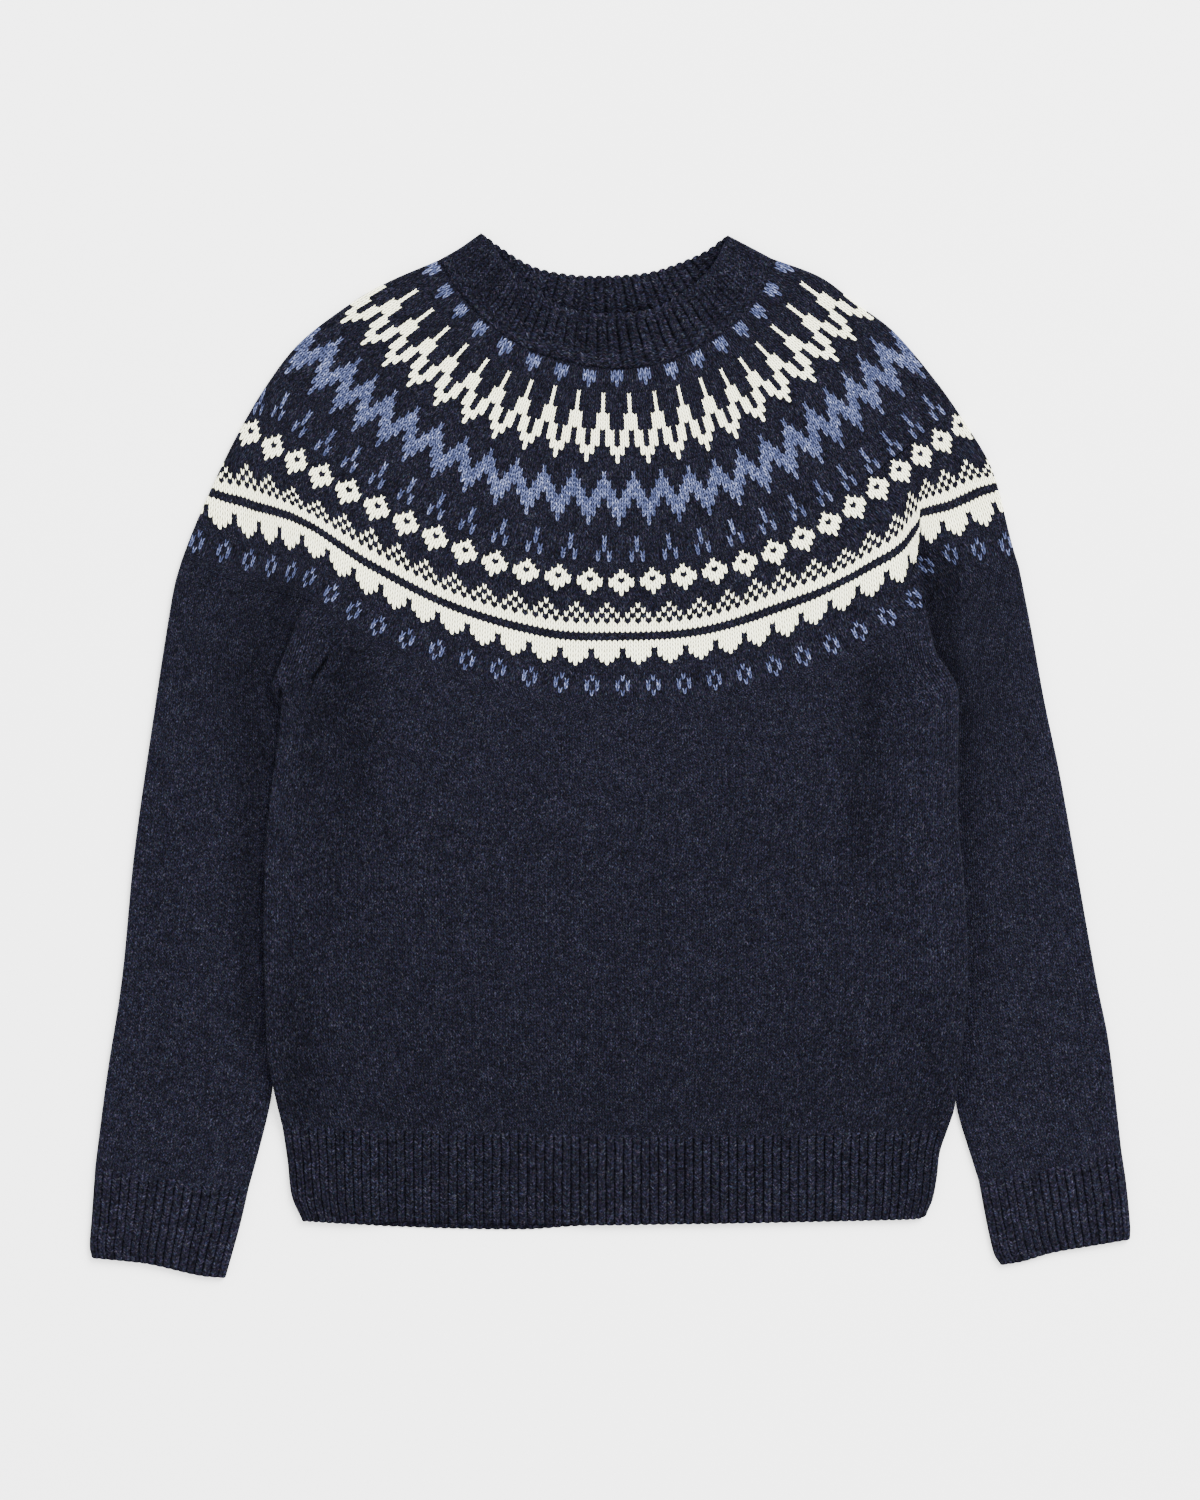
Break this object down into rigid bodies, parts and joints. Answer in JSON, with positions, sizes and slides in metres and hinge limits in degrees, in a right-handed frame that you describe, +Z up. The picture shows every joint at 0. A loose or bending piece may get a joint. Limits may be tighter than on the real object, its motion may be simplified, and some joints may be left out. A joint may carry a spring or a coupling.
{
  "type": "fair isle jumper",
  "caption": "Long-sleeved round-yoke knitted jumper laid flat on its back, with fair isle bands across the yoke and a ribbed crew neck, hem and cuffs.",
  "frame": {"origin": "middle of the jumper's footprint, on the surface that it lies on", "axes": "+Z up from the surface, through the back to the front; +Y from the hem towards the neck; +X to the right as seen from above"},
  "size_m": [0.727, 0.7295, 0.0102],
  "materials": {
    "navy_wool": "heathered navy wool in plain knit, soft and matt",
    "navy_rib": "heathered navy wool in 1x1 rib, soft and matt",
    "fair_isle_wool": "navy wool knitted with bands in cream and steel blue, soft and matt"
  },
  "bodies": {
    "root": {"neckband": "navy_rib", "yoke": "fair_isle_wool", "body_front": "navy_wool", "body_back": "navy_wool", "hem_front": "navy_rib", "hem_back": "navy_rib", "sleeve_left": "navy_wool", "sleeve_right": "navy_wool", "cuff_left": "navy_rib", "cuff_right": "navy_rib"}
  },
  "joints": []
}
